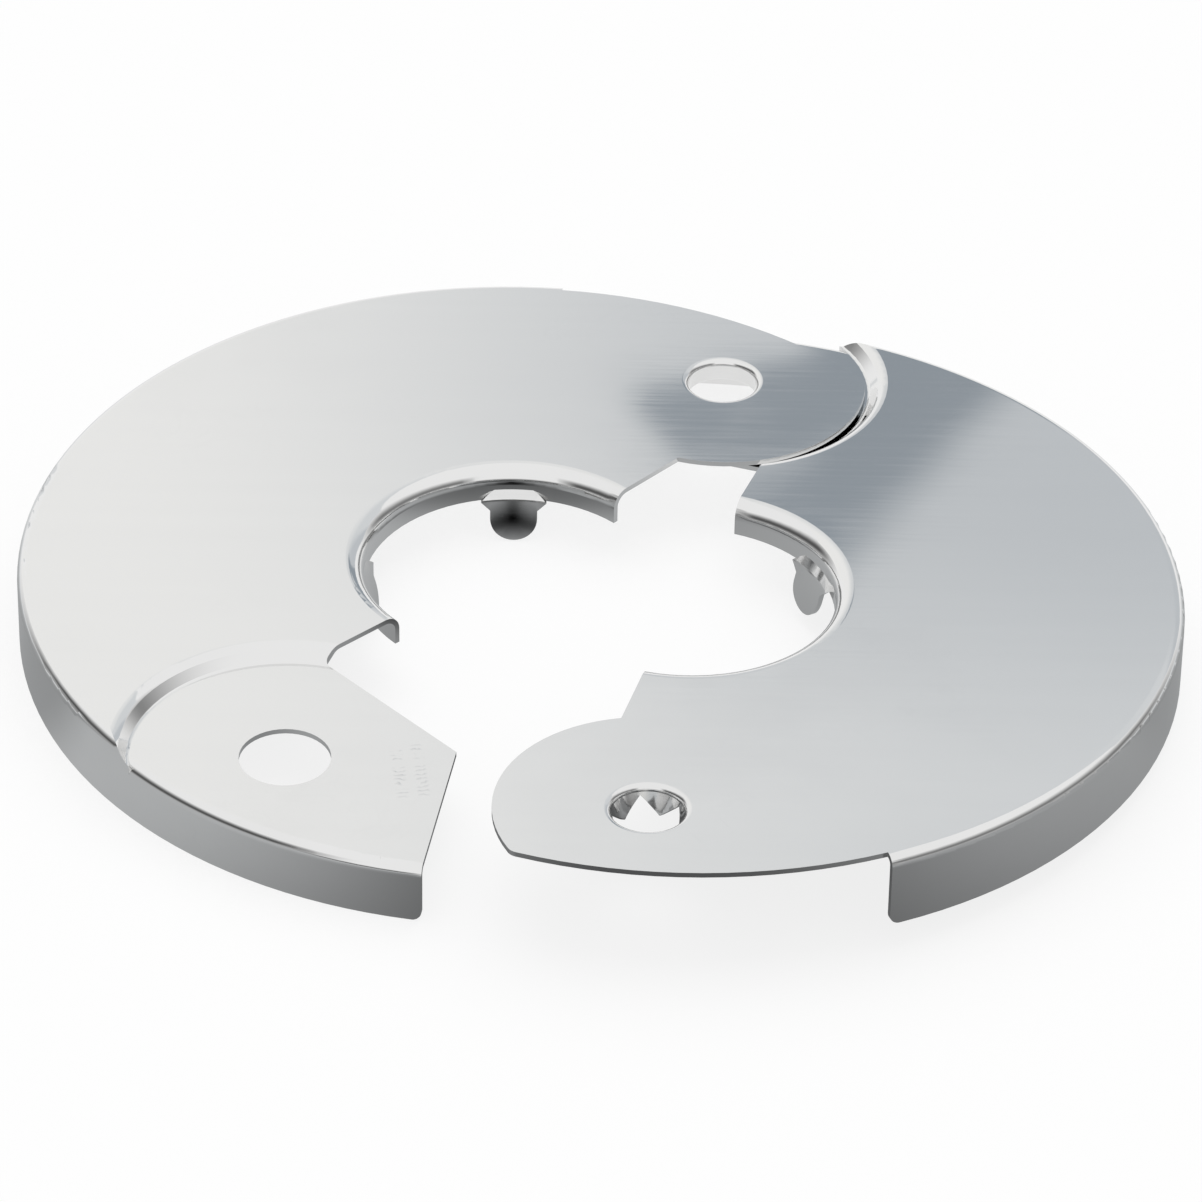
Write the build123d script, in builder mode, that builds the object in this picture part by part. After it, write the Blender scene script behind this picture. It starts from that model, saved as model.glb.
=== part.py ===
import os
from math import acos, cos, degrees, radians, sin, tan

from build123d import *

# Split pipe escutcheon: two pressed half plates joined by a formed eyelet.
# Lengths in millimetres, angles in degrees. The wall plane is z = 0, the pipe
# axis of the hinge half is Z, and the hinge eyelet stands on +Y.

# Pressed dish
plate_radius = 37.0
bore_radius = 11.1
sheet = 0.4
rim_height = 5.8
collar_depth = 2.6
rim_bend = 0.85
collar_bend = 1.35

# Overlapping lobes, each one concentric with its own eyelet or hole
eyelet_inset = 8.4
lobe_radius = 11.1
lobe_corner = 1.0
lobe_aim = -20.0
tail_inset = 5.5
notch_inset = 10.3
notch_corner = 0.3
upper_split_angle = 80.4
lower_split_angle = 256.4
upper_rim_angle = 118.6
lower_rim_angle = 295.0
rim_end_corner = 0.8

# Offset step that lets one lobe pass under the other
step_angle = 50.0
step_top_bend = 1.0
step_foot_bend = 0.3
step_clearance = 0.2
lobe_gap = 0.1

# Formed eyelets
eyelet_bore = 5.3
eyelet_wall = 0.35
lip_bend = 0.5
hinge_clearance = 0.1
clinch_radius = 4.4
snap_depth = 2.2
snap_tip_radius = 2.1
snap_hole = 6.7
petals = 5
petal_root = 0.75
petal_slot_angle = 100.0

# Spring tabs that grip the pipe, a quarter turn apart on the closed plate
tab_angles = (124.0, 214.0)
tab_width = 3.6
tab_rise = 0.8
tab_set = 0.35
tab_bend = 0.6
tab_lean = 14.0
tab_floor_gap = 0.1
tab_root_flare = 0.7

# Rest pose of the snap half, swung open and lifted about the hinge
open_angle = 28.2
lift_angle = 1.8

# Worked out from the sizes above
top = rim_height
clear = 1.0
eyelet_pitch = plate_radius - eyelet_inset
tail_radius = eyelet_pitch - tail_inset
notch_radius = eyelet_pitch - notch_inset
lift_slope = tan(radians(lift_angle))
step_depth = sheet + lobe_gap + lift_slope * (plate_radius - eyelet_pitch + lobe_radius)
barrel_radius = eyelet_bore / 2 + eyelet_wall
clinch_depth = step_depth + sheet


def polar(radius, angle):
    return Vector(radius, 0).rotate(Axis.Z, angle)


def pressed_ring(inner, outer, height, inner_bend, outer_bend, foot):
    with BuildPart() as ring:
        with BuildSketch(Plane.XZ) as section:
            with Locations((inner, foot)):
                Rectangle(outer - inner, height - foot, align=(Align.MIN, Align.MIN))
            fillet(section.vertices().group_by(Axis.Y)[-1].sort_by(Axis.X)[0], inner_bend)
            fillet(section.vertices().group_by(Axis.Y)[-1].sort_by(Axis.X)[-1], outer_bend)
        revolve(axis=Axis.Z)
    return ring.part


# Everything inside the step: under it the lobe lies lower. The skin is 0 for
# the visible face of the sheet and one sheet for its back.
def step_well(skin):
    foot = lobe_radius + step_clearance
    bends = step_top_bend + step_foot_bend
    rise = step_depth - bends * (1 - cos(radians(step_angle)))
    edge = foot + bends * sin(radians(step_angle)) + rise / tan(radians(step_angle))
    floor_centre = (foot, top - step_depth + step_foot_bend)
    crest_centre = (edge, top - step_top_bend)
    axis = Axis((0, -eyelet_pitch, 0), (0, 0, 1))
    with BuildPart() as well:
        with BuildSketch(Plane.XZ.offset(eyelet_pitch)):
            with BuildLine():
                floor_arc = CenterArc(floor_centre, step_foot_bend + skin, -90, step_angle)
                crest_arc = CenterArc(crest_centre, step_top_bend - skin, 90, step_angle)
                Line(floor_arc @ 1, crest_arc @ 1)
                Polyline(
                    floor_arc @ 0,
                    (foot, -clear),
                    (0, -clear),
                    (0, top + clear),
                    (edge, top + clear),
                    crest_arc @ 0,
                )
            make_face()
        revolve(axis=axis)
        with Locations((0, foot - eyelet_pitch, -clear)):
            Box(
                plate_radius + clear,
                plate_radius + clear,
                top + 2 * clear,
                align=(Align.MIN, Align.MAX, Align.MIN),
            )
    return well.part


# Outline of one half seen from above, from the split at the eyelet lobe round
# the rim to the split at the lowered lobe
def half_outline():
    edge_radius = plate_radius - rim_bend
    beyond = plate_radius + clear
    inside = bore_radius / 2
    eyelet = Vector(0, eyelet_pitch)
    turn = upper_split_angle - 90
    along = eyelet_pitch * cos(radians(turn))
    across = eyelet_pitch * sin(radians(turn))
    flank = along - (lobe_radius**2 - across**2) ** 0.5
    corner = degrees(
        acos((eyelet_pitch**2 + edge_radius**2 - lobe_radius**2) / (2 * eyelet_pitch * edge_radius))
    )
    lobe_start = polar(flank, upper_split_angle)
    lobe_end = polar(edge_radius, 90 - corner)
    edge_middle = polar(edge_radius, (90 - corner + upper_rim_angle) / 2)
    rim_middle = polar(beyond, (upper_rim_angle + lower_rim_angle) / 2)
    with BuildSketch() as outline:
        with BuildLine():
            Line(polar(inside, upper_split_angle), lobe_start)
            ThreePointArc(lobe_start, eyelet + polar(lobe_radius, lobe_aim), lobe_end)
            ThreePointArc(lobe_end, edge_middle, polar(edge_radius, upper_rim_angle))
            Line(polar(edge_radius, upper_rim_angle), polar(beyond, upper_rim_angle))
            ThreePointArc(polar(beyond, upper_rim_angle), rim_middle, polar(beyond, lower_rim_angle))
            Polyline(
                polar(beyond, lower_rim_angle),
                polar(tail_radius, lower_rim_angle),
                polar(notch_radius, lower_split_angle),
                polar(inside, lower_split_angle),
                polar(inside, upper_split_angle),
            )
        make_face()
        fillet(outline.vertices().sort_by_distance(lobe_end)[0], lobe_corner)
        notch = polar(notch_radius, lower_split_angle)
        fillet(outline.vertices().sort_by_distance(notch)[0], notch_corner)
    return outline.sketch


# One half before its eyelet, hole and tabs
def stamped_half():
    back_collar_bend = collar_bend - sheet
    back_rim_bend = rim_bend - sheet
    bore_back = bore_radius + sheet
    rim_back = plate_radius - sheet
    low = top - step_depth
    face = pressed_ring(bore_radius, plate_radius, top, collar_bend, rim_bend, 0)
    low_face = pressed_ring(bore_radius, plate_radius, low, collar_bend, rim_bend, 0)
    back = pressed_ring(bore_back, rim_back, top - sheet, back_collar_bend, back_rim_bend, -clear)
    low_back = pressed_ring(bore_back, rim_back, low - sheet, back_collar_bend, back_rim_bend, -clear)
    face_well = step_well(0)
    back_well = step_well(sheet)
    outline = half_outline()
    with BuildPart() as hollow:
        add(back)
        add(back_well, mode=Mode.SUBTRACT)
        add(low_back)
    with BuildPart() as half:
        add(face)
        add(face_well, mode=Mode.SUBTRACT)
        add(low_face)
        add(hollow.part, mode=Mode.SUBTRACT)
        with Locations((0, 0, top - collar_depth)):
            Cylinder(
                bore_back + sheet,
                top,
                align=(Align.CENTER, Align.CENTER, Align.MAX),
                mode=Mode.SUBTRACT,
            )
        extrude(outline, amount=top, mode=Mode.INTERSECT)
        rim_ends = half.edges().group_by(Axis.Z)[0].filter_by(GeomType.LINE)
        fillet(rim_ends, rim_end_corner)
    return half.part


# Tongue that runs on from the collar: its root is set in towards the pipe, and
# it leans in from there down to a full round end
def spring_tab():
    start = top - collar_depth
    middle = bore_radius + sheet / 2
    knee = middle - tab_set
    tip = tab_floor_gap - sheet
    inward = knee - tan(radians(tab_lean)) * (start - tip)
    half_width = tab_width / 2
    root = half_width + tab_root_flare
    spread = 4 * degrees(root / bore_radius)
    first_side = Plane((0, 0, 0), x_dir=polar(1, -spread / 2), z_dir=polar(1, -spread / 2 - 90))
    with BuildPart() as tab:
        with BuildSketch(first_side):
            with BuildLine() as spine:
                FilletPolyline((middle, start + tab_rise), (knee, start), (inward, tip), radius=tab_bend)
            trace(spine.line, sheet)
        revolve(axis=Axis.Z, revolution_arc=spread)
        with BuildSketch(Plane.YZ):
            with BuildLine():
                end = CenterArc((0, tab_floor_gap + half_width), half_width, 180, 180)
                Polyline(end @ 1, (half_width, start - tab_root_flare), (root, start))
                ThreePointArc((root, start), (0, start + tab_rise + sheet), (-root, start))
                Polyline((-root, start), (-half_width, start - tab_root_flare), end @ 0)
            make_face()
        extrude(amount=plate_radius, mode=Mode.INTERSECT)
    return tab.part


# Rolled lip and barrel drawn down from the sheet, its petals clinched outward
# under the other half's lobe. The sheet's top face is z = 0 here.
def hinge_eyelet():
    bore = eyelet_bore / 2
    lip = bore + lip_bend
    foot = -clinch_depth - eyelet_wall
    roll_centre = (bore + eyelet_wall, foot + eyelet_wall)
    beyond = clinch_radius + clear
    spread = (beyond - barrel_radius) * tan(radians(petal_slot_angle / 2))
    with BuildPart() as eyelet:
        with BuildSketch(Plane.XZ):
            with BuildLine():
                lip_arc = CenterArc((lip, -lip_bend), lip_bend, 90, 90)
                roll_arc = CenterArc(roll_centre, eyelet_wall, 180, 90)
                Line(lip_arc @ 1, roll_arc @ 0)
                Polyline(
                    roll_arc @ 1,
                    (clinch_radius, foot),
                    (clinch_radius, -clinch_depth),
                    (barrel_radius, -clinch_depth),
                    (barrel_radius, -sheet),
                    (lip + sheet, -sheet),
                    (lip + sheet, 0),
                    lip_arc @ 0,
                )
            make_face()
        revolve(axis=Axis.Z)
        with BuildSketch(Plane.XY.offset(-clinch_depth)):
            with PolarLocations(0, petals):
                Polygon(
                    (barrel_radius, 0),
                    (beyond, -spread),
                    (beyond, spread),
                    align=None,
                )
        extrude(amount=-clear, mode=Mode.SUBTRACT)
    return eyelet.part


# Rolled lip whose barrel is pierced into pointed petals that draw in below
def snap_eyelet():
    bore = eyelet_bore / 2
    lip = bore + lip_bend
    pitch = radians(180 / petals)
    with BuildPart() as slit:
        with BuildSketch(Plane.YZ):
            Polygon(
                (0, -petal_root),
                (-snap_tip_radius * pitch, -snap_depth),
                (snap_tip_radius * pitch, -snap_depth),
                align=None,
            )
        extrude(amount=barrel_radius + clear)
    with BuildPart() as eyelet:
        with BuildSketch(Plane.XZ):
            with BuildLine():
                lip_arc = CenterArc((lip, -lip_bend), lip_bend, 90, 90)
                Polyline(
                    lip_arc @ 1,
                    (snap_tip_radius, -snap_depth),
                    (snap_tip_radius + eyelet_wall, -snap_depth),
                    (barrel_radius, -lip_bend),
                    (barrel_radius, -sheet),
                    (lip + sheet, -sheet),
                    (lip + sheet, 0),
                    lip_arc @ 0,
                )
            make_face()
        revolve(axis=Axis.Z)
        with PolarLocations(0, petals):
            add(slit.part, mode=Mode.SUBTRACT)
    return eyelet.part


tab = spring_tab()
hinge_barrel = hinge_eyelet()
snap_barrel = snap_eyelet()
eyelet_place = Location((0, eyelet_pitch, top))
hole_place = Location((0, -eyelet_pitch, 0))
eyelet_seat = eyelet_bore / 2 + lip_bend + sheet / 2

# Both halves start from the same stamping with two tabs
with BuildPart() as stamping:
    add(stamped_half())
    for angle in tab_angles:
        add(tab.rotate(Axis.Z, angle))

# Half that stays put: hinge eyelet on its upper lobe, plain hole in its lower
with BuildPart() as hinge_half:
    add(stamping.part)
    with Locations(eyelet_place):
        Cylinder(eyelet_seat, top, mode=Mode.SUBTRACT)
        add(hinge_barrel)
    with Locations(hole_place):
        Cylinder(snap_hole / 2, 2 * top, mode=Mode.SUBTRACT)

# Half that swings, modelled like the first and then turned into place
with BuildPart() as snap_blank:
    add(stamping.part)
    with Locations(eyelet_place):
        Cylinder(eyelet_seat, top, mode=Mode.SUBTRACT)
        add(snap_barrel)
    with Locations(hole_place):
        Cylinder(barrel_radius + hinge_clearance, 2 * top, mode=Mode.SUBTRACT)

# The lifted half stands on its rim behind the hinge, so its snap petals pass
# over the lowered lobe that they close into
hinge_seat = Vector(0, eyelet_pitch, top - step_depth - sheet / 2)
lift = Vector(0, 0, (plate_radius - eyelet_pitch) * sin(radians(lift_angle)))
swing = Location(hinge_seat + lift, (0, 0, open_angle))
tilt = Location((0, 0, 0), (-lift_angle, 0, 0))
half_turn = Location((0, 0, 0), (0, 0, 180))
open_pose = swing * tilt * Location(-hinge_seat) * half_turn
placed_half = open_pose * snap_blank.part

with BuildPart() as snap_half:
    add(placed_half)

hinge_half.part.label = "hinge_half"
snap_half.part.label = "snap_half"
os.makedirs("parts", exist_ok=True)
export_step(hinge_half.part, "parts/hinge_half.step")
export_step(snap_half.part, "parts/snap_half.step")
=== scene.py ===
import math

import bmesh
import bpy
from mathutils import Matrix, Vector
from mathutils.kdtree import KDTree


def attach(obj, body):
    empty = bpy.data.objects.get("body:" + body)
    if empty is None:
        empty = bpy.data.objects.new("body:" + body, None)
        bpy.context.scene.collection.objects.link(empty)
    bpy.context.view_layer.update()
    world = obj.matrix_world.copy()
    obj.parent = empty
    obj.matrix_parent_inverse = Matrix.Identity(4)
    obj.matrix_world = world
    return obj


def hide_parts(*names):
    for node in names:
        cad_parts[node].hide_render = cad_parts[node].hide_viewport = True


# Split pipe escutcheon: two plated sheet-steel halves on one eyelet hinge.
# Everything is in metres, in the frame of the CAD part.

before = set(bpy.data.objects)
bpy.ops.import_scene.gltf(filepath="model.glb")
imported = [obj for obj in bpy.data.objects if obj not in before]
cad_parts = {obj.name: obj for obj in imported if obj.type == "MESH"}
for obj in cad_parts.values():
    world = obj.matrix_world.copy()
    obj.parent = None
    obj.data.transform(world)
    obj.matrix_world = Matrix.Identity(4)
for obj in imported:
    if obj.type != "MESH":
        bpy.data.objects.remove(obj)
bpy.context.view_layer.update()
scene = bpy.context.scene
scene.view_settings.view_transform = "Standard"
print("frame loaded:", ", ".join(sorted(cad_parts)))

mm = 0.001
white = (1.0, 1.0, 1.0, 1.0)


def inMetres(millimetres):
    return tuple(mm * number for number in millimetres)


def deselectAll():
    if bpy.context.mode != "OBJECT":
        bpy.ops.object.mode_set(mode="OBJECT")
    bpy.ops.object.select_all(action="DESELECT")


def makeActive(piece):
    deselectAll()
    piece.select_set(True)
    bpy.context.view_layer.objects.active = piece


def applyAll(piece):
    makeActive(piece)
    for modifier in list(piece.modifiers):
        bpy.ops.object.modifier_apply(modifier=modifier.name)


def addNode(tree, kind, values=None, **settings):
    node = tree.nodes.new(kind)
    for key, value in settings.items():
        setattr(node, key, value)
    for key, value in (values or {}).items():
        node.inputs[key].default_value = value
    return node


def plug(tree, value, socket):
    if isinstance(value, (int, float)):
        socket.default_value = value
    elif value is not None:
        tree.links.new(value, socket)


def sums(tree, operation, first, second=None, third=None, clamp=False):
    node = addNode(tree, "ShaderNodeMath", operation=operation, use_clamp=clamp)
    for socket, value in zip(node.inputs, (first, second, third)):
        plug(tree, value, socket)
    return node.outputs[0]


def product(tree, first, *others):
    for other in others:
        first = sums(tree, "MULTIPLY", first, other)
    return first


def ramp(tree, value, low, high, toLow=0.0, toHigh=1.0):
    limits = {"From Min": low, "From Max": high, "To Min": toLow, "To Max": toHigh}
    node = addNode(tree, "ShaderNodeMapRange", limits, interpolation_type="SMOOTHSTEP")
    plug(tree, value, node.inputs["Value"])
    return node.outputs["Result"]


def fallOff(tree, value, low, high):
    return ramp(tree, value, low, high, 1.0, 0.0)


def mixColour(tree, factor, first, second, blend="MIX"):
    node = addNode(tree, "ShaderNodeMix", data_type="RGBA", blend_type=blend)
    plug(tree, factor, node.inputs[0])
    for socket, value in ((node.inputs[6], first), (node.inputs[7], second)):    # colours A and B
        if isinstance(value, tuple):
            socket.default_value = value
        else:
            plug(tree, value, socket)
    return node.outputs[2]


def objectPlace(tree):
    return addNode(tree, "ShaderNodeTexCoord").outputs["Object"]


def vectorParts(tree, vector):
    node = addNode(tree, "ShaderNodeSeparateXYZ")
    tree.links.new(vector, node.inputs[0])
    return node.outputs


def vectorWith(tree, operation, vector, constant):
    node = addNode(tree, "ShaderNodeVectorMath", {1: constant}, operation=operation)
    tree.links.new(vector, node.inputs[0])
    return node.outputs


def noiseOver(tree, vector, scale, values):
    node = addNode(tree, "ShaderNodeTexNoise", values)
    tree.links.new(vector, node.inputs["Vector"])
    plug(tree, scale, node.inputs["Scale"])
    return node.outputs["Fac"]


# 1 for rays that show a surface as it is seen, 0 for rays that only light others.
def seenDirectly(tree):
    rays = addNode(tree, "ShaderNodeLightPath").outputs
    seen = sums(tree, "ADD", rays["Is Camera Ray"], rays["Is Glossy Ray"])
    return sums(tree, "ADD", seen, rays["Is Transmission Ray"], clamp=True)


def newGroup(name, inputs, outputs):
    group = bpy.data.node_groups.new(name, "ShaderNodeTree")
    for socketName, socketType, value in inputs:
        socket = group.interface.new_socket(socketName, in_out="INPUT", socket_type=socketType)
        if value is not None:
            socket.default_value = value
    for socketName, socketType in outputs:
        group.interface.new_socket(socketName, in_out="OUTPUT", socket_type=socketType)
    return group, group.nodes.new("NodeGroupInput"), group.nodes.new("NodeGroupOutput")


rolling = {
    "stretch": 0.03,                 # how far the noise is drawn out along the rolling
    "roughness": 0.6,
    "layers": (("Lines", 1.0, 3.0), ("Streaks", 0.22, 1.5)),    # share of the fineness, detail
}


# Rolling lines of the sheet: noise drawn out along one direction in the plane of the plate.
def rollingLinesGroup(settings):
    group, source, sink = newGroup(
        "rollingLines",
        [("Vector", "NodeSocketVector", None), ("Along", "NodeSocketFloat", None),
         ("Fineness", "NodeSocketFloat", None),
         ("Stretch", "NodeSocketFloat", settings["stretch"])],
        [("Lines", "NodeSocketFloat"), ("Streaks", "NodeSocketFloat")])
    turn = addNode(group, "ShaderNodeVectorRotate", rotation_type="Z_AXIS")
    group.links.new(source.outputs["Vector"], turn.inputs["Vector"])
    group.links.new(product(group, source.outputs["Along"], -1.0), turn.inputs["Angle"])
    parts = vectorParts(group, turn.outputs[0])
    drawnOut = addNode(group, "ShaderNodeCombineXYZ")
    group.links.new(product(group, parts["X"], source.outputs["Stretch"]), drawnOut.inputs["X"])
    group.links.new(parts["Y"], drawnOut.inputs["Y"])
    group.links.new(parts["Z"], drawnOut.inputs["Z"])
    for name, share, detail in settings["layers"]:
        scale = product(group, source.outputs["Fineness"], share)
        kind = {"Detail": detail, "Roughness": settings["roughness"]}
        group.links.new(noiseOver(group, drawnOut.outputs[0], scale, kind), sink.inputs[name])
    return group


handling = {
    "scale": 260.0,                  # of the scratches
    "patchiness": 55.0,              # scale of the rubbed patches
    "cloud": {"Detail": 3.0, "Roughness": 0.55},
    "rubbed": (0.5, 0.72),
    "gateScale": 90.0,
    "gateKind": {"Detail": 2.0},
    "gate": (0.56, 0.66),            # scratches show only where this noise is high
    "strandKind": {"Detail": 1.0, "Distortion": 1.6},
    "squeeze": (1.0, 0.5, 1.0),
    "strands": ((0.5, 0.022), (2.2, 0.016)),    # turn, thinness
}


# Handling marks: hair scratches that cross, and a few cloudy rubbed patches.
def handlingMarksGroup(settings):
    group, source, sink = newGroup(
        "handlingMarks",
        [("Vector", "NodeSocketVector", None), ("Scale", "NodeSocketFloat", settings["scale"]),
         ("Patchiness", "NodeSocketFloat", settings["patchiness"])],
        [("Scratches", "NodeSocketFloat"), ("Rubbed", "NodeSocketFloat")])
    place = source.outputs["Vector"]
    cloud = noiseOver(group, place, source.outputs["Patchiness"], settings["cloud"])
    group.links.new(ramp(group, cloud, *settings["rubbed"]), sink.inputs["Rubbed"])
    gate = noiseOver(group, place, settings["gateScale"], settings["gateKind"])
    gate = ramp(group, gate, *settings["gate"])
    scratches = 0.0
    for turn, thinness in settings["strands"]:
        angled = addNode(group, "ShaderNodeVectorRotate", {"Angle": turn}, rotation_type="Z_AXIS")
        group.links.new(place, angled.inputs["Vector"])
        squeezed = vectorWith(group, "MULTIPLY", angled.outputs[0], settings["squeeze"])
        noise = noiseOver(group, squeezed[0], source.outputs["Scale"], settings["strandKind"])
        nearMiddle = sums(group, "ABSOLUTE", sums(group, "SUBTRACT", noise, 0.5))
        strand = product(group, fallOff(group, nearMiddle, 0.0, thinness), gate)
        scratches = sums(group, "MAXIMUM", scratches, strand)
    group.links.new(scratches, sink.inputs["Scratches"])
    return group


rollingLines = rollingLinesGroup(rolling)
handlingMarks = handlingMarksGroup(handling)
print("shared finishes ready")

plating = {
    "clean": (0.80, 0.80, 0.796, 1.0),
    "dull": (0.70, 0.70, 0.70, 1.0),
    "along": math.radians(33.8),     # rolling direction in the plane of the plate
    "fineness": 2600.0,
    "roughLow": 0.05,
    "roughHigh": 0.12,
    "roughFrom": (0.3, 1.0),
    "roughRubbed": 0.35,             # what rubbing adds to the lines
    "wornScratches": 0.5,            # how far each mark dulls the colour
    "wornRubbed": 0.12,
    "wornTicks": 0.8,
    "wornStreaks": 0.18,
    "depthUnit": 0.001 * mm,         # the depths below are in this unit
    "linesDeep": 0.5,
    "wavesDeep": 22.0,
    "scratchDeep": 0.5,
    "ticksDeep": 13.0,
    "wavesScale": 70.0,
    "wavesKind": {"Detail": 1.0, "Roughness": 0.4},
    "scuffElsewhere": 0.15,
    "scuffCore": 0.3,                # share of the reach that is scuffed in full
    # where the plating is scuffed: place and reach in millimetres
    "scuffs": (((20.5, -27.3, 7.9), 5.5), ((34.0, -21.2, 7.9), 4.0)),
    # a patch of chatter ticks beside the slanted end of the lowered lobe
    "ticksAt": inMetres((8.27, -24.74, 4.69)),
    "ticksAlong": (0.664, -0.748, 0.0),
    "ticksAcross": (0.748, 0.664, 0.0),
    "ticksPitch": 0.5 * mm,
    "ticksSharp": 3.0,
    "ticksPatchy": (0.42, 0.58),
    "jitterScale": 900.0,
    "jitterKind": {"Detail": 2.0},
    "jitterTurn": 14.0,              # how far jitter shifts a tick, in radians of its wave
    "columnAway": 0.75 * mm,         # from the middle of the patch to each column
    "columnEdge": (0.2 * mm, 0.6 * mm),
    "columnEnds": (2.4 * mm, 3.6 * mm),
}


# Scratches gather on the scuffed places.
def scuffMask(tree, place, settings):
    scuffed = settings["scuffElsewhere"]
    for centre, reach in settings["scuffs"]:
        away = vectorWith(tree, "DISTANCE", place, inMetres(centre))["Value"]
        near = fallOff(tree, away, settings["scuffCore"] * reach * mm, reach * mm)
        scuffed = sums(tree, "MAXIMUM", near, scuffed)
    return scuffed


# Chatter ticks: two short columns of little cross waves.
def chatterTicks(tree, place, settings):
    offset = vectorWith(tree, "SUBTRACT", place, settings["ticksAt"])[0]
    across = vectorWith(tree, "DOT_PRODUCT", offset, settings["ticksAcross"])["Value"]
    along = vectorWith(tree, "DOT_PRODUCT", offset, settings["ticksAlong"])["Value"]
    jitter = noiseOver(tree, place, settings["jitterScale"], settings["jitterKind"])
    wave = product(tree, along, 2.0 * math.pi / settings["ticksPitch"])
    wave = sums(tree, "MULTIPLY_ADD", jitter, settings["jitterTurn"], wave)
    wave = sums(tree, "MULTIPLY_ADD", sums(tree, "SINE", wave), 0.5, 0.5)
    wave = sums(tree, "POWER", wave, settings["ticksSharp"])
    column = sums(tree, "SUBTRACT", sums(tree, "ABSOLUTE", across), settings["columnAway"])
    column = fallOff(tree, sums(tree, "ABSOLUTE", column), *settings["columnEdge"])
    ends = fallOff(tree, sums(tree, "ABSOLUTE", along), *settings["columnEnds"])
    patchy = ramp(tree, jitter, *settings["ticksPatchy"])
    return product(tree, wave, product(tree, column, ends), patchy)


def platedSteel(name, settings):
    material = bpy.data.materials.new(name)
    material.use_nodes = True
    tree = material.node_tree
    shader = tree.nodes["Principled BSDF"]
    shader.inputs["Metallic"].default_value = 1.0
    place = objectPlace(tree)
    rolled = {"Along": settings["along"], "Fineness": settings["fineness"]}
    lines = addNode(tree, "ShaderNodeGroup", rolled, node_tree=rollingLines)
    tree.links.new(place, lines.inputs["Vector"])
    marks = addNode(tree, "ShaderNodeGroup", node_tree=handlingMarks)
    tree.links.new(place, marks.inputs["Vector"])
    line, streaks = lines.outputs["Lines"], lines.outputs["Streaks"]
    rubbed = marks.outputs["Rubbed"]
    scratches = product(tree, marks.outputs["Scratches"], scuffMask(tree, place, settings))
    ticks = chatterTicks(tree, place, settings)
    waves = noiseOver(tree, place, settings["wavesScale"], settings["wavesKind"])
    worn = product(tree, scratches, settings["wornScratches"])
    worn = sums(tree, "MULTIPLY_ADD", rubbed, settings["wornRubbed"], worn)
    worn = sums(tree, "MULTIPLY_ADD", ticks, settings["wornTicks"], worn)
    worn = sums(tree, "MULTIPLY_ADD", streaks, settings["wornStreaks"], worn, clamp=True)
    colour = mixColour(tree, worn, settings["clean"], settings["dull"])
    tree.links.new(colour, shader.inputs["Base Color"])
    rough = sums(tree, "MULTIPLY_ADD", rubbed, settings["roughRubbed"], line)
    rough = ramp(tree, rough, *settings["roughFrom"], settings["roughLow"], settings["roughHigh"])
    tree.links.new(rough, shader.inputs["Roughness"])
    height = product(tree, scratches, -settings["scratchDeep"])
    height = sums(tree, "MULTIPLY_ADD", line, settings["linesDeep"], height)
    height = sums(tree, "MULTIPLY_ADD", waves, settings["wavesDeep"], height)
    height = sums(tree, "MULTIPLY_ADD", ticks, settings["ticksDeep"], height)
    bump = addNode(tree, "ShaderNodeBump", {"Strength": 1.0, "Distance": settings["depthUnit"]})
    tree.links.new(height, bump.inputs["Height"])
    tree.links.new(bump.outputs["Normal"], shader.inputs["Normal"])
    return material


shearing = dict(plating, clean=(0.76, 0.76, 0.76, 1.0), roughLow=0.34, roughHigh=0.5)
steel = platedSteel("platedSteel", plating)
cutEdge = platedSteel("cutEdge", shearing)
print("plated steel ready")

halves = {
    "hingeHalf": {"node": "hinge_half", "body": "fixed_half"},
    "snapHalf": {"node": "snap_half", "body": "swing_half"},
    "weld": 0.002 * mm,
    "flatWithin": math.radians(0.2),
    "cutEdgeRound": 0.16 * mm,       # the rolled-over corner of the sheared sheet
    "cutEdgeSegments": 3,
    "cutEdgeSlot": 1,                # its place among the half's materials
    "cutEdgeAngle": math.radians(60),
    "cutEdgeRoom": 0.36 * mm,        # edges with less room beside them stay sharp
    "nearest": 4,                    # CAD corners that a new corner chooses from
    "sameSide": 0.8,                 # cosine; a CAD normal further off than this isn't taken
}


# Marks the sheared edges that are rolled over; tight corners are left out.
def markCutEdges(mesh, settings):
    work = bmesh.new()
    work.from_mesh(mesh)
    weight = work.edges.layers.float.new("bevel_weight_edge")    # made before edges are gathered
    sharp = {edge for edge in work.edges
             if len(edge.link_faces) == 2 and edge.calc_face_angle() > settings["cutEdgeAngle"]}
    tight = set()
    for vertex in work.verts:
        sharpHere = [edge for edge in vertex.link_edges if edge in sharp]
        across = [edge for edge in vertex.link_edges if edge not in sharp]
        crowded = any(edge.calc_length() < settings["cutEdgeRoom"] for edge in across)
        if crowded or len(sharpHere) != 2:
            tight.add(vertex)
    for edge in sharp:
        if not tight.intersection(edge.verts):
            edge[weight] = 1.0
    work.to_mesh(mesh)
    work.free()


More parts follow.
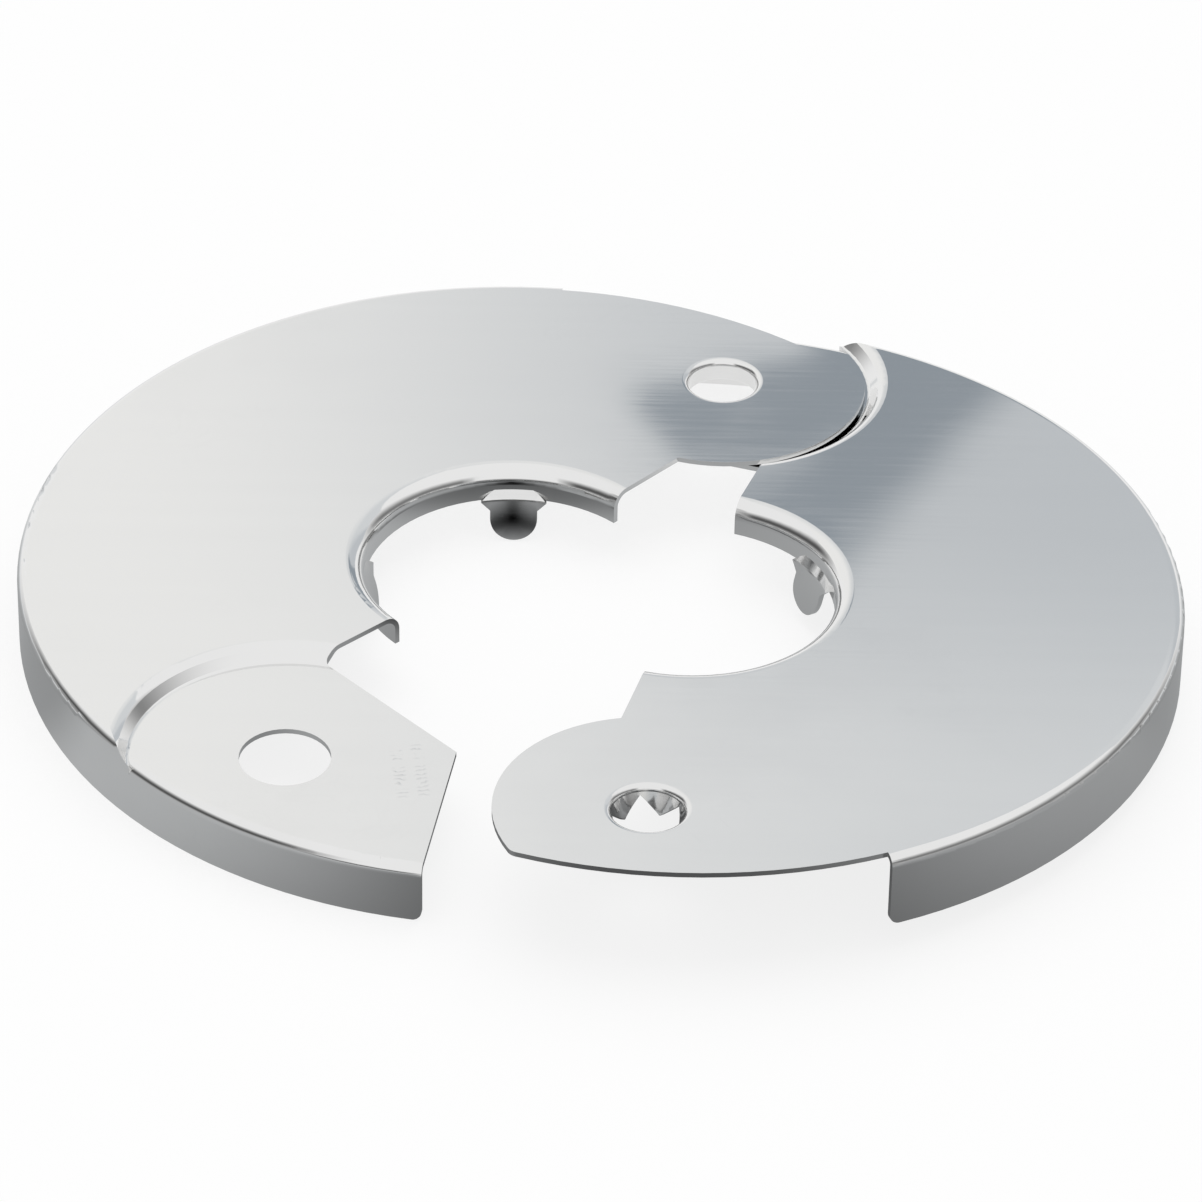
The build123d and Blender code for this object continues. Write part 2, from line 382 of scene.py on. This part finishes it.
# The pressed bends keep the exact curvature of the CAD surface: each corner takes the
# nearest CAD normal that suits its face, and the rolled-over corners blend between them.
def carryBends(mesh, cadMesh, settings):
    cadNormals = [None] * len(cadMesh.vertices)
    for corner, normal in zip(cadMesh.loops, cadMesh.corner_normals):
        cadNormals[corner.vertex_index] = normal.vector.copy()
    nearby = KDTree(len(cadMesh.vertices))
    for vertex in cadMesh.vertices:
        nearby.insert(vertex.co, vertex.index)
    nearby.balance()
    normals = [Vector((0.0, 0.0, 0.0))] * len(mesh.loops)    # zero leaves Blender's own normal
    sheetNormals = {}
    for face in mesh.polygons:
        if face.material_index:
            continue
        for index in face.loop_indices:
            vertex = mesh.loops[index].vertex_index
            place = mesh.vertices[vertex].co
            found = nearby.find_range(place, settings["weld"])
            found = found or nearby.find_n(place, settings["nearest"])
            best = max((cadNormals[hit[1]] for hit in found), key=face.normal.dot)
            if best.dot(face.normal) < settings["sameSide"]:
                best = face.normal.copy()
            normals[index] = best
            sheetNormals.setdefault(vertex, []).append(best)
    for face in mesh.polygons:
        for index in face.loop_indices if face.material_index else ():
            beside = sheetNormals.get(mesh.loops[index].vertex_index)
            if beside:
                normals[index] = max(beside, key=face.normal.dot)
    mesh.normals_split_custom_set(normals)


def stampedHalf(name, settings, halfSettings):
    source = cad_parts[halfSettings["node"]]
    piece = bpy.data.objects.new(name, source.data.copy())
    scene.collection.objects.link(piece)
    piece.data.materials.clear()
    piece.data.materials.append(steel)
    piece.data.materials.append(cutEdge)
    makeActive(piece)
    bpy.ops.mesh.customdata_custom_splitnormals_clear()
    bpy.ops.object.mode_set(mode="EDIT")
    bpy.ops.mesh.select_all(action="SELECT")
    bpy.ops.mesh.remove_doubles(threshold=settings["weld"])
    bpy.ops.mesh.dissolve_limited(angle_limit=settings["flatWithin"])
    bpy.ops.object.mode_set(mode="OBJECT")
    markCutEdges(piece.data, settings)
    bevel = piece.modifiers.new("cutEdge", "BEVEL")
    bevel.width = settings["cutEdgeRound"]
    bevel.segments = settings["cutEdgeSegments"]
    bevel.limit_method = "WEIGHT"
    bevel.material = settings["cutEdgeSlot"]
    applyAll(piece)
    bpy.ops.object.shade_smooth()
    carryBends(piece.data, source.data, settings)
    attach(piece, halfSettings["body"])
    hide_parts(halfSettings["node"])
    print(name, "made with", len(piece.data.polygons), "faces")


for halfName in ("hingeHalf", "snapHalf"):
    stampedHalf(halfName, halves, halves[halfName])

view = {
    "lens": 209.651,
    "sensor": 36.0,
    "azimuth": math.radians(33.8224),
    "elevation": math.radians(36.1978),
    "distance": 530.0135 * mm,
    "target": Vector((4.2923, 5.7266, 0.0)) * mm,
    "roll": 0.016,
}


# Unit direction in the upright plane of the view: side 1 is towards the camera, -1 away.
def inViewPlane(side, elevation):
    level = side * math.cos(elevation)
    return Vector((level * math.sin(view["azimuth"]), -level * math.cos(view["azimuth"]),
                   math.sin(elevation)))


toCamera = inViewPlane(1.0, view["elevation"])
toFront = Vector((toCamera.x, toCamera.y, 0.0)).normalized()
acrossView = Vector((math.cos(view["azimuth"]), math.sin(view["azimuth"]), 0.0))
cameraData = bpy.data.cameras.new("camera")
cameraData.sensor_width = view["sensor"]
cameraData.lens = view["lens"]
camera = bpy.data.objects.new("camera", cameraData)
scene.collection.objects.link(camera)
cameraTurn = toCamera.to_track_quat("Z", "Y").to_matrix() @ Matrix.Rotation(view["roll"], 3, "Z")
cameraPlace = Matrix.Translation(view["target"] + toCamera * view["distance"])
camera.matrix_world = cameraPlace @ cameraTurn.to_4x4()
scene.camera = camera
print("camera set")

studio = {
    "floorSize": 6.0,
    "floorColour": (0.95, 0.95, 0.95, 1.0),
    "floorGlow": 0.82,               # how far the floor reads as plain white; the rest keeps shadow
    "fill": 0.62,                    # diffuse light from all round
    "keyStrength": 1.35,
    "keyElevation": math.radians(62),
    "keySoftness": math.radians(70),
}

deselectAll()
bpy.ops.mesh.primitive_plane_add(size=studio["floorSize"], location=(0.0, 0.0, 0.0))
floor = bpy.context.active_object
floor.name = "floor"
floorPaint = bpy.data.materials.new("floorPaint")
floorPaint.use_nodes = True
floorTree = floorPaint.node_tree
floorShader = floorTree.nodes["Principled BSDF"]
floorShader.inputs["Base Color"].default_value = studio["floorColour"]
floorShader.inputs["Roughness"].default_value = 1.0
floorShader.inputs["Specular IOR Level"].default_value = 0.0
floorGlow = addNode(floorTree, "ShaderNodeEmission", {"Color": white, "Strength": 1.0})
floorMix = addNode(floorTree, "ShaderNodeMixShader")
glowShare = product(floorTree, seenDirectly(floorTree), studio["floorGlow"])
floorTree.links.new(glowShare, floorMix.inputs["Fac"])
floorTree.links.new(floorShader.outputs["BSDF"], floorMix.inputs[1])
floorTree.links.new(floorGlow.outputs["Emission"], floorMix.inputs[2])
floorTree.links.new(floorMix.outputs[0], floorTree.nodes["Material Output"].inputs["Surface"])
floor.data.materials.append(floorPaint)

# The surround is white to the camera and in reflections, and dimmer as fill light.
world = bpy.data.worlds.new("studioWorld")
world.use_nodes = True
scene.world = world
surround = world.node_tree
background = surround.nodes["Background"]
background.inputs["Color"].default_value = white
brightness = sums(surround, "MULTIPLY_ADD", seenDirectly(surround), 1.0 - studio["fill"],
                  studio["fill"])
surround.links.new(brightness, background.inputs["Strength"])

# The key light stands behind the part and isn't seen in reflections.
keyData = bpy.data.lights.new("keyLight", "SUN")
keyData.energy = studio["keyStrength"]
keyData.angle = studio["keySoftness"]
key = bpy.data.objects.new("keyLight", keyData)
scene.collection.objects.link(key)
toKey = inViewPlane(-1.0, studio["keyElevation"])
key.matrix_world = toKey.to_track_quat("Z", "Y").to_matrix().to_4x4()
key.visible_glossy = False
print("floor, surround and key light set")


# Reflector boards: only reflections see them.
def reflectionOnly(board, name):
    board.name = name
    for use in ("visible_camera", "visible_diffuse", "visible_shadow", "visible_transmission",
                "visible_volume_scatter"):
        setattr(board, use, False)
    paint = bpy.data.materials.new(name + "Paint")
    paint.use_nodes = True
    paint.node_tree.nodes.clear()
    board.data.materials.append(paint)
    return paint.node_tree


def reflectorBoard(name, centre, across, up, width, height):
    deselectAll()
    bpy.ops.mesh.primitive_plane_add(size=1.0, location=(0.0, 0.0, 0.0))
    board = bpy.context.active_object
    across = across.normalized()
    up = up.normalized()
    turn = Matrix((across, up, across.cross(up))).transposed().to_4x4()
    board.matrix_world = Matrix.Translation(centre) @ turn
    board.data.transform(Matrix.Diagonal((width, height, 1.0, 1.0)))
    return reflectionOnly(board, name)


def showSurface(tree, shader):
    tree.links.new(shader, addNode(tree, "ShaderNodeOutputMaterial").inputs["Surface"])


# A glow that is only there where the mask is 1; elsewhere the board is clear.
def showThrough(tree, mask, strength, tint):
    glow = addNode(tree, "ShaderNodeEmission", {"Color": tint})
    tree.links.new(strength, glow.inputs["Strength"])
    fade = addNode(tree, "ShaderNodeMixShader")
    tree.links.new(mask, fade.inputs["Fac"])
    tree.links.new(addNode(tree, "ShaderNodeBsdfTransparent").outputs[0], fade.inputs[1])
    tree.links.new(glow.outputs[0], fade.inputs[2])
    showSurface(tree, fade.outputs[0])


# Behind the part, where the flat plate mirrors the view: a sweep of tone with a dark panel.
rearBoard = {
    "reach": 200 * mm,
    "over": Vector((7.0, 4.0, 5.8)) * mm,
    "width": 420 * mm,
    "height": 150 * mm,
    "left": (1.0, 0.998, 0.988, 1.0),
    "right": (0.76, 0.782, 0.80, 1.0),
    "sweep": (-60 * mm, 62 * mm),
    "lowRightTone": (0.80, 0.815, 0.835, 1.0),
    "lowRightAcross": (-60 * mm, 26 * mm),
    "lowRightDown": (14 * mm, -20 * mm),
    "panelTone": (0.325, 0.365, 0.405, 1.0),
    "panelLeft": (14.2 * mm, 18 * mm),
    "panelLeftLean": -0.83,
    "panelRight": (9.5 * mm, 17.5 * mm),
    "panelRightLean": 0.9,           # how far this edge moves out for each step down
    "panelTop": (-11 * mm, -4 * mm),
    "panelFoot": (-17.9 * mm, -19.7 * mm),
    "panelFootLean": 0.2,
    "panelFootEnd": (17 * mm, 23 * mm),
}

mirrorWay = Vector((-toCamera.x, -toCamera.y, toCamera.z))
boardUp = mirrorWay.cross(acrossView)
if boardUp.z < 0.0:
    boardUp = -boardUp
rearTree = reflectorBoard("rearBoard", rearBoard["over"] + mirrorWay * rearBoard["reach"],
                          acrossView, boardUp, rearBoard["width"], rearBoard["height"])
rearParts = vectorParts(rearTree, objectPlace(rearTree))
rearX, rearY = rearParts["X"], rearParts["Y"]
rearTone = mixColour(rearTree, ramp(rearTree, rearX, *rearBoard["sweep"]),
                     rearBoard["left"], rearBoard["right"])
lowRight = product(rearTree, ramp(rearTree, rearX, *rearBoard["lowRightAcross"]),
                   ramp(rearTree, rearY, *rearBoard["lowRightDown"]))
rearTone = mixColour(rearTree, lowRight, rearTone, rearBoard["lowRightTone"], "MULTIPLY")
leftEdge = sums(rearTree, "MULTIPLY_ADD", rearY, rearBoard["panelLeftLean"], rearX)
rightEdge = sums(rearTree, "MULTIPLY_ADD", rearY, rearBoard["panelRightLean"], rearX)
footEdge = sums(rearTree, "MULTIPLY_ADD", rearX, rearBoard["panelFootLean"], rearY)
foot = sums(rearTree, "MAXIMUM", ramp(rearTree, rearX, *rearBoard["panelFootEnd"]),
            fallOff(rearTree, footEdge, *rearBoard["panelFoot"]))
panel = product(rearTree, ramp(rearTree, leftEdge, *rearBoard["panelLeft"]),
                fallOff(rearTree, rightEdge, *rearBoard["panelRight"]),
                fallOff(rearTree, rearY, *rearBoard["panelTop"]), foot)
rearTone = mixColour(rearTree, panel, rearTone, rearBoard["panelTone"])
rearGlow = addNode(rearTree, "ShaderNodeEmission", {"Strength": 1.0})
rearTree.links.new(rearTone, rearGlow.inputs["Color"])
showSurface(rearTree, rearGlow.outputs[0])

# A dark band round the front and both sides, low ahead and taller at the sides.
darkBand = {
    "radius": 420 * mm,
    "height": 450 * mm,
    "sides": 96,
    "tone": 0.10,
    "ahead": (0.55, 0.75),
    "aheadTop": (110 * mm, 10 * mm),
    "leftward": (-0.5, -0.75),
    "notBehind": (-0.8, -0.3),
    "leftTop": (420 * mm, 130 * mm),
    "rightward": (0.4, 0.65),
    "rightTop": (380 * mm, 90 * mm, 0.0, 0.88),
    "sideLow": (110 * mm, 0.0, 0.0, 0.34),    # the sides pale towards the floor
}

deselectAll()
bpy.ops.mesh.primitive_cylinder_add(
    vertices=darkBand["sides"], radius=darkBand["radius"], depth=darkBand["height"],
    end_fill_type="NOTHING", location=(0.0, 0.0, 0.5 * darkBand["height"]))
bandTree = reflectionOnly(bpy.context.active_object, "darkBand")
bandPlace = objectPlace(bandTree)
bandHeight = sums(bandTree, "ADD", vectorParts(bandTree, bandPlace)["Z"], 0.5 * darkBand["height"])
bandFront, bandAcross = (
    vectorWith(bandTree, "DOT_PRODUCT", bandPlace, direction / darkBand["radius"])["Value"]
    for direction in (toFront, acrossView))
notBehind = ramp(bandTree, bandFront, *darkBand["notBehind"])
leftSide = product(bandTree, ramp(bandTree, bandAcross, *darkBand["leftward"]), notBehind)
rightSide = product(bandTree, ramp(bandTree, bandAcross, *darkBand["rightward"]), notBehind)
bothSides = sums(bandTree, "MAXIMUM", leftSide, rightSide)
sideLow = ramp(bandTree, bandHeight, *darkBand["sideLow"])
bandTone = sums(bandTree, "MULTIPLY_ADD", bothSides, sideLow, darkBand["tone"])
dark = product(bandTree, ramp(bandTree, bandFront, *darkBand["ahead"]),
               ramp(bandTree, bandHeight, *darkBand["aheadTop"]))
for side, top in ((leftSide, "leftTop"), (rightSide, "rightTop")):
    dark = sums(bandTree, "MAXIMUM", dark,
                product(bandTree, side, ramp(bandTree, bandHeight, *darkBand[top])))
showThrough(bandTree, dark, bandTone, white)

# The apron is painted shade: a dark sheet on the floor round the front and sides that only
# reflections see, so the rim and collar mirror a floor darkened as by the part's shadow.
apron = {
    "size": (920 * mm, 840 * mm),
    "forward": 60 * mm,              # how far its middle lies in front of the pipe axis
    "above": 0.02 * mm,
    "left": (5 * mm, -33 * mm, 0.10, 0.52),
    "right": (15 * mm, 58 * mm, 0.0, 0.30),
    # painted shade under the bore, where the plate shadows the floor
    "boreTone": 0.34,
    "boreEdge": (-20 * mm, -12 * mm),
    "rearTone": 0.82,                # paler towards the rear
    "rearEdge": (-10 * mm, 40 * mm),
    # painted shade: a dark spot on the floor that the spring tab mirrors as a dark face
    "spot": (0.0, -3.5 * mm),        # a dark spot that a spring tab reflects
    "spotSize": (2.8 * mm, 14 * mm),
    "rearFade": (20 * mm, 8 * mm),   # clear behind, under the part
    "leftOut": (-37 * mm, -45 * mm),
    "rightOut": (50 * mm, 58 * mm),
    "backFade": (360 * mm, 320 * mm),
    "frontFade": (-480 * mm, -440 * mm),
    "sideFade": (460 * mm, 430 * mm),
    "tint": (0.965, 0.985, 1.0, 1.0),
}

apronMiddle = toFront * apron["forward"] + Vector((0.0, 0.0, apron["above"]))
apronTree = reflectorBoard("apron", apronMiddle, acrossView, -toFront, *apron["size"])
apronParts = vectorParts(apronTree, objectPlace(apronTree))
apronX = apronParts["X"]
apronY = sums(apronTree, "SUBTRACT", apronParts["Y"], apron["forward"])
# the painted shade: darkest next to the part, paler out to the sides and towards the rear
shade = sums(apronTree, "ADD", ramp(apronTree, apronX, *apron["left"]),
             ramp(apronTree, apronX, *apron["right"]))
for tone, edge in (("boreTone", "boreEdge"), ("rearTone", "rearEdge")):
    step = sums(apronTree, "SUBTRACT", apron[tone], shade)
    shade = sums(apronTree, "MULTIPLY_ADD", ramp(apronTree, apronY, *apron[edge]), step, shade)
spotX, spotY = (
    sums(apronTree, "DIVIDE", sums(apronTree, "SUBTRACT", place, middle), size)
    for place, middle, size in zip((apronX, apronY), apron["spot"], apron["spotSize"]))
spread = sums(apronTree, "MULTIPLY_ADD", spotX, spotX, product(apronTree, spotY, spotY))
spotDark = sums(apronTree, "EXPONENT", product(apronTree, spread, -1.0))
shade = product(apronTree, shade, sums(apronTree, "SUBTRACT", 1.0, spotDark))
beside = sums(apronTree, "MAXIMUM", ramp(apronTree, apronX, *apron["leftOut"]),
              ramp(apronTree, apronX, *apron["rightOut"]))
solid = sums(apronTree, "MAXIMUM", beside, ramp(apronTree, apronY, *apron["rearFade"]))
solid = product(apronTree, solid, ramp(apronTree, apronY, *apron["frontFade"]),
                ramp(apronTree, apronY, *apron["backFade"]),
                ramp(apronTree, sums(apronTree, "ABSOLUTE", apronX), *apron["sideFade"]))
# the painted shade is seen only in reflections; elsewhere the apron is clear
showThrough(apronTree, solid, shade, apron["tint"])
print("reflector boards set")
